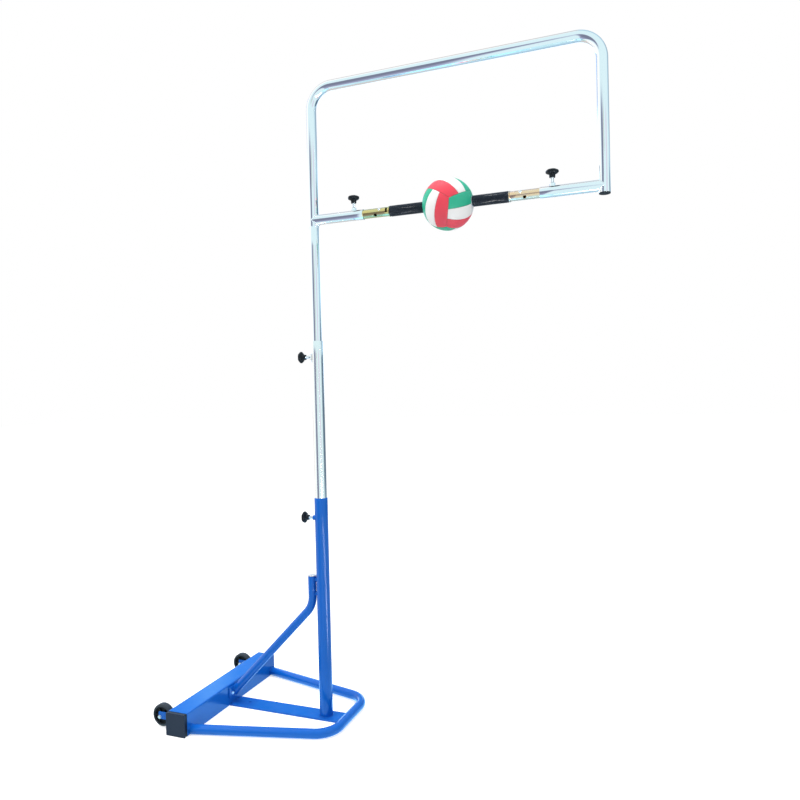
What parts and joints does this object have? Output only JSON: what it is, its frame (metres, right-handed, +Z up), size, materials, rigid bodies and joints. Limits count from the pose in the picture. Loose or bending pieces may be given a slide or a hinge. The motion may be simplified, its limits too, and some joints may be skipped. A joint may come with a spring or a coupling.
{
  "type": "volleyball spike trainer",
  "caption": "Wheeled, ballasted floor stand with a telescopic mast whose bent frame holds a ball between coil springs for practising spikes.",
  "frame": {"origin": "middle of the bounding box, at floor level", "axes": "+X from the ballast beam towards the frame's free leg, +Y along the beam away from the picture's camera, +Z up"},
  "size_m": [1.889, 0.698, 2.7212],
  "materials": {
    "blue_paint": "gloss mid-blue powder coat over welded steel",
    "cast_iron": "raw cast iron",
    "slate_plastic": "moulded dark slate plastic",
    "grey_plastic": "moulded pale grey plastic",
    "zinc_steel": "satin zinc-plated steel",
    "chrome_steel": "bright chrome-plated steel",
    "yellow_zinc": "yellow-passivated zinc plate with a faint green and pink sheen",
    "black_plastic": "moulded black nylon",
    "wheel_rubber": "solid black rubber",
    "spring_black": "black coated spring steel",
    "ball_leather": "white, red and green synthetic leather panels"
  },
  "bodies": {
    "base": {"ballast_beam": "blue_paint", "ballast_bar": "cast_iron", "end_plug_near": "slate_plastic", "end_plug_far": "slate_plastic", "floor_loop": "blue_paint", "centre_strip": "blue_paint", "lower_mast": "blue_paint", "brace_tube": "blue_paint", "brace_cap": "grey_plastic", "brace_lug_low": "blue_paint", "brace_lug_high": "blue_paint", "brace_plate": "blue_paint", "plate_bolt_near": "zinc_steel", "plate_bolt_far": "zinc_steel", "fork_near": "blue_paint", "fork_far": "blue_paint", "axle_near": "zinc_steel", "axle_far": "zinc_steel", "clamp_boss_lower": "blue_paint"},
    "wheel_near": {"tyre_near": "wheel_rubber", "hub_near": "black_plastic"},
    "wheel_far": {"tyre_far": "wheel_rubber", "hub_far": "black_plastic"},
    "middle_glide": {"middle_glide_ring": "black_plastic"},
    "middle_mast": {"middle_tube": "zinc_steel", "middle_liner": "black_plastic", "middle_rivet": "zinc_steel", "clamp_boss_middle": "zinc_steel"},
    "frame_glide": {"frame_glide_ring": "black_plastic"},
    "frame": {"frame_tube": "chrome_steel", "frame_upright": "chrome_steel", "arm_left": "chrome_steel", "arm_right": "chrome_steel", "leg_plug": "black_plastic", "clamp_boss_left": "zinc_steel", "clamp_boss_right": "zinc_steel"},
    "sleeve_glides": {"sleeve_ring_left": "black_plastic", "sleeve_ring_right": "black_plastic"},
    "sleeves": {"sleeve_left": "yellow_zinc", "sleeve_right": "yellow_zinc", "sleeve_rivet_left": "zinc_steel", "sleeve_rivet_right": "zinc_steel", "spring_seat_left": "yellow_zinc", "spring_seat_right": "yellow_zinc", "spring_left": "spring_black", "spring_right": "spring_black"},
    "ball": {"ball_shell": "ball_leather", "ball_spindle": "zinc_steel"},
    "tip_lower": {"clamp_tip_lower": "yellow_zinc"},
    "knob_lower": {"clamp_stud_lower": "zinc_steel", "clamp_knob_lower": "black_plastic"},
    "tip_middle": {"clamp_tip_middle": "yellow_zinc"},
    "knob_middle": {"clamp_stud_middle": "zinc_steel", "clamp_knob_middle": "black_plastic"},
    "tip_left": {"clamp_tip_left": "yellow_zinc"},
    "knob_left": {"clamp_stud_left": "zinc_steel", "clamp_knob_left": "black_plastic"},
    "tip_right": {"clamp_tip_right": "yellow_zinc"},
    "knob_right": {"clamp_stud_right": "zinc_steel", "clamp_knob_right": "black_plastic"}
  },
  "joints": [
    {"name": "wheel_near_spin", "type": "hinge", "parent": "base", "child": "wheel_near", "pos_m": [-0.8977, -0.286, 0.0515], "axis": [0, 1, 0], "continuous": true},
    {"name": "wheel_far_spin", "type": "hinge", "parent": "base", "child": "wheel_far", "pos_m": [-0.8977, 0.304, 0.0515], "axis": [0, 1, 0], "continuous": true},
    {"name": "lower_mast_slide", "type": "slide", "parent": "base", "child": "middle_glide", "axis": [0, 0, 1], "range_m": [-0.58, 0.12]},
    {"name": "lower_mast_swivel", "type": "hinge", "parent": "middle_glide", "child": "middle_mast", "pos_m": [-0.2767, 0.009, 0.62], "axis": [0, 0, 1], "continuous": true},
    {"name": "upper_mast_slide", "type": "slide", "parent": "middle_mast", "child": "frame_glide", "axis": [0, 0, 1], "range_m": [-0.45, 0.12]},
    {"name": "upper_mast_swivel", "type": "hinge", "parent": "frame_glide", "child": "frame", "pos_m": [-0.2767, 0.009, 1.36], "axis": [0, 0, 1], "continuous": true},
    {"name": "sleeve_slide", "type": "slide", "parent": "frame", "child": "sleeve_glides", "axis": [1, 0, 0], "range_m": [-0.025, 0.025]},
    {"name": "sleeve_roll", "type": "hinge", "parent": "sleeve_glides", "child": "sleeves", "pos_m": [-0.2767, 0.009, 2.14], "axis": [1, 0, 0], "continuous": true},
    {"name": "ball_sway", "type": "slide", "parent": "sleeves", "child": "ball", "axis": [0, 1, 0], "range_m": [-0.1, 0.1], "stiffness_N_per_m": 450, "deforming": ["spring_left", "spring_right"]},
    {"name": "clamp_lower_travel", "type": "slide", "parent": "base", "child": "tip_lower", "axis": [-1, 0, 0], "range_m": [0, 0.0045]},
    {"name": "clamp_lower_turn", "type": "hinge", "parent": "tip_lower", "child": "knob_lower", "pos_m": [-0.2767, 0.009, 0.8625], "axis": [-1, 0, 0], "range_deg": [0, 1080]},
    {"name": "clamp_middle_travel", "type": "slide", "parent": "middle_mast", "child": "tip_middle", "axis": [-1, 0, 0], "range_m": [0, 0.0045]},
    {"name": "clamp_middle_turn", "type": "hinge", "parent": "tip_middle", "child": "knob_middle", "pos_m": [-0.2767, 0.009, 1.5566], "axis": [-1, 0, 0], "range_deg": [0, 1080]},
    {"name": "clamp_left_travel", "type": "slide", "parent": "frame", "child": "tip_left", "axis": [0, 0, 1], "range_m": [0, 0.0045]},
    {"name": "clamp_left_turn", "type": "hinge", "parent": "tip_left", "child": "knob_left", "pos_m": [-0.0877, 0.009, 2.14], "axis": [0, 0, 1], "range_deg": [0, 1080]},
    {"name": "clamp_right_travel", "type": "slide", "parent": "frame", "child": "tip_right", "axis": [0, 0, 1], "range_m": [0, 0.0045]},
    {"name": "clamp_right_turn", "type": "hinge", "parent": "tip_right", "child": "knob_right", "pos_m": [0.7343, 0.009, 2.14], "axis": [0, 0, 1], "range_deg": [0, 1080]}
  ],
  "couplings": [
    {"joint": "clamp_lower_turn", "follows": "clamp_lower_travel", "rad_per_m": 4188.8},
    {"joint": "clamp_middle_turn", "follows": "clamp_middle_travel", "rad_per_m": 4188.8},
    {"joint": "clamp_left_turn", "follows": "clamp_left_travel", "rad_per_m": 4188.8},
    {"joint": "clamp_right_turn", "follows": "clamp_right_travel", "rad_per_m": 4188.8}
  ]
}
